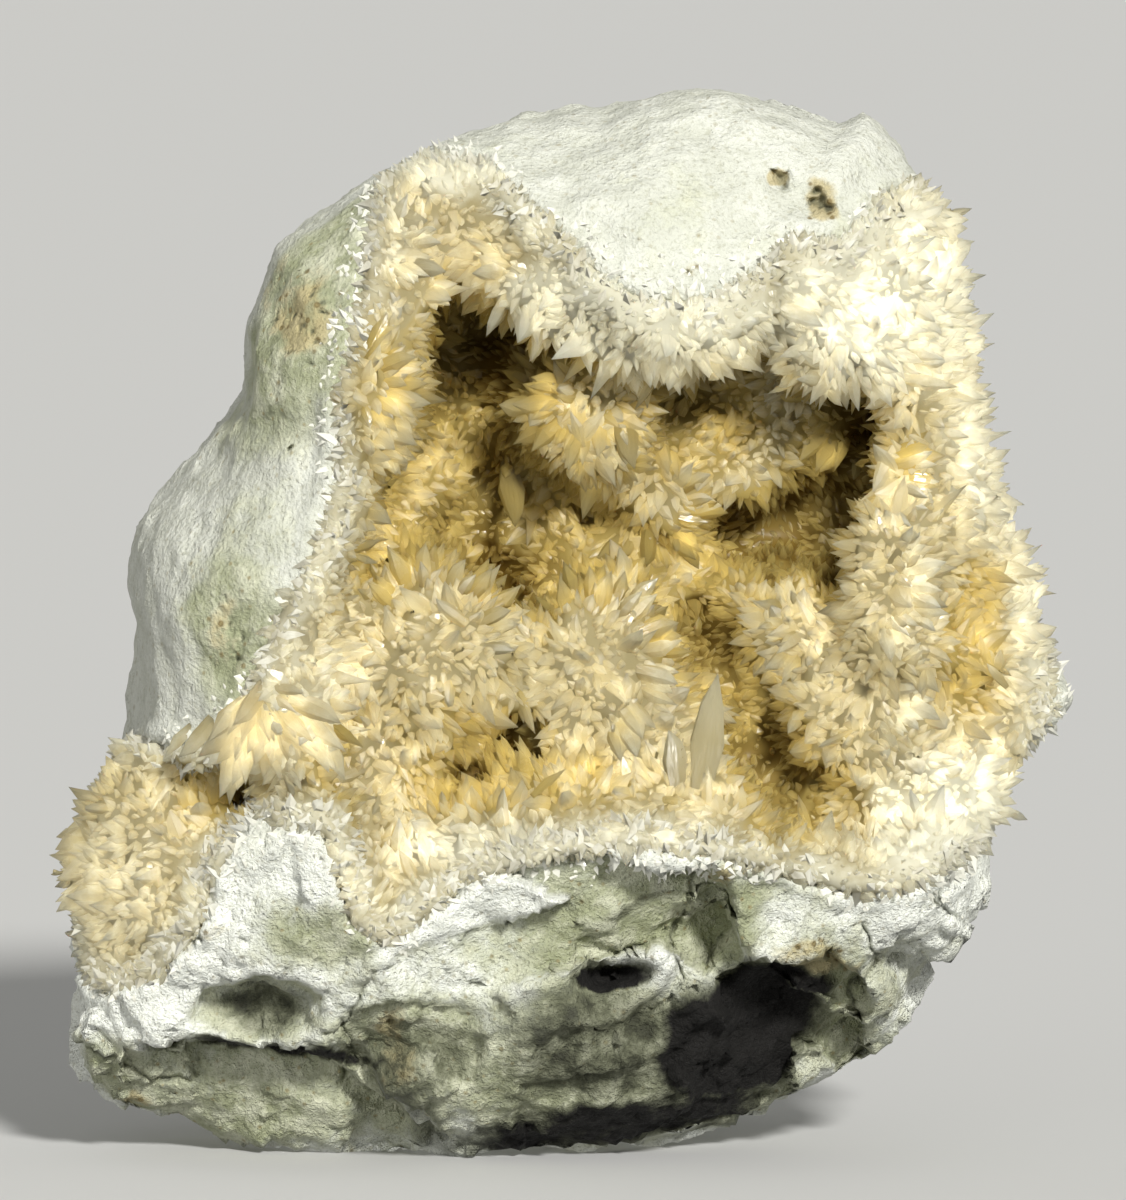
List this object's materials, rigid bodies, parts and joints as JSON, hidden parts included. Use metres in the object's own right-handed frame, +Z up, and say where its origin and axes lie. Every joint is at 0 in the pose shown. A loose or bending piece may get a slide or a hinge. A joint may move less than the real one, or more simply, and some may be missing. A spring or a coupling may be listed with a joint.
{
  "type": "mineral specimen",
  "caption": "Colemanite geode: a nodule of pale host rock broken open, its hollow lined with honey-coloured blade and spear crystals in radiating balls.",
  "frame": {"origin": "middle of the bounding box's underside, on the surface that the nodule stands on", "axes": "+Z up; +Y from the open hollow into the rock behind it, so the hollow faces -Y; +X to the right as one faces the hollow"},
  "size_m": [0.2066, 0.1244, 0.2115],
  "materials": {
    "host_rock": "rough, granular, pitted stone",
    "colemanite": "glossy flat crystal faces, cloudy and translucent"
  },
  "bodies": {
    "root": {"host_rock": "host_rock", "crystal_crust": "colemanite"}
  },
  "joints": []
}
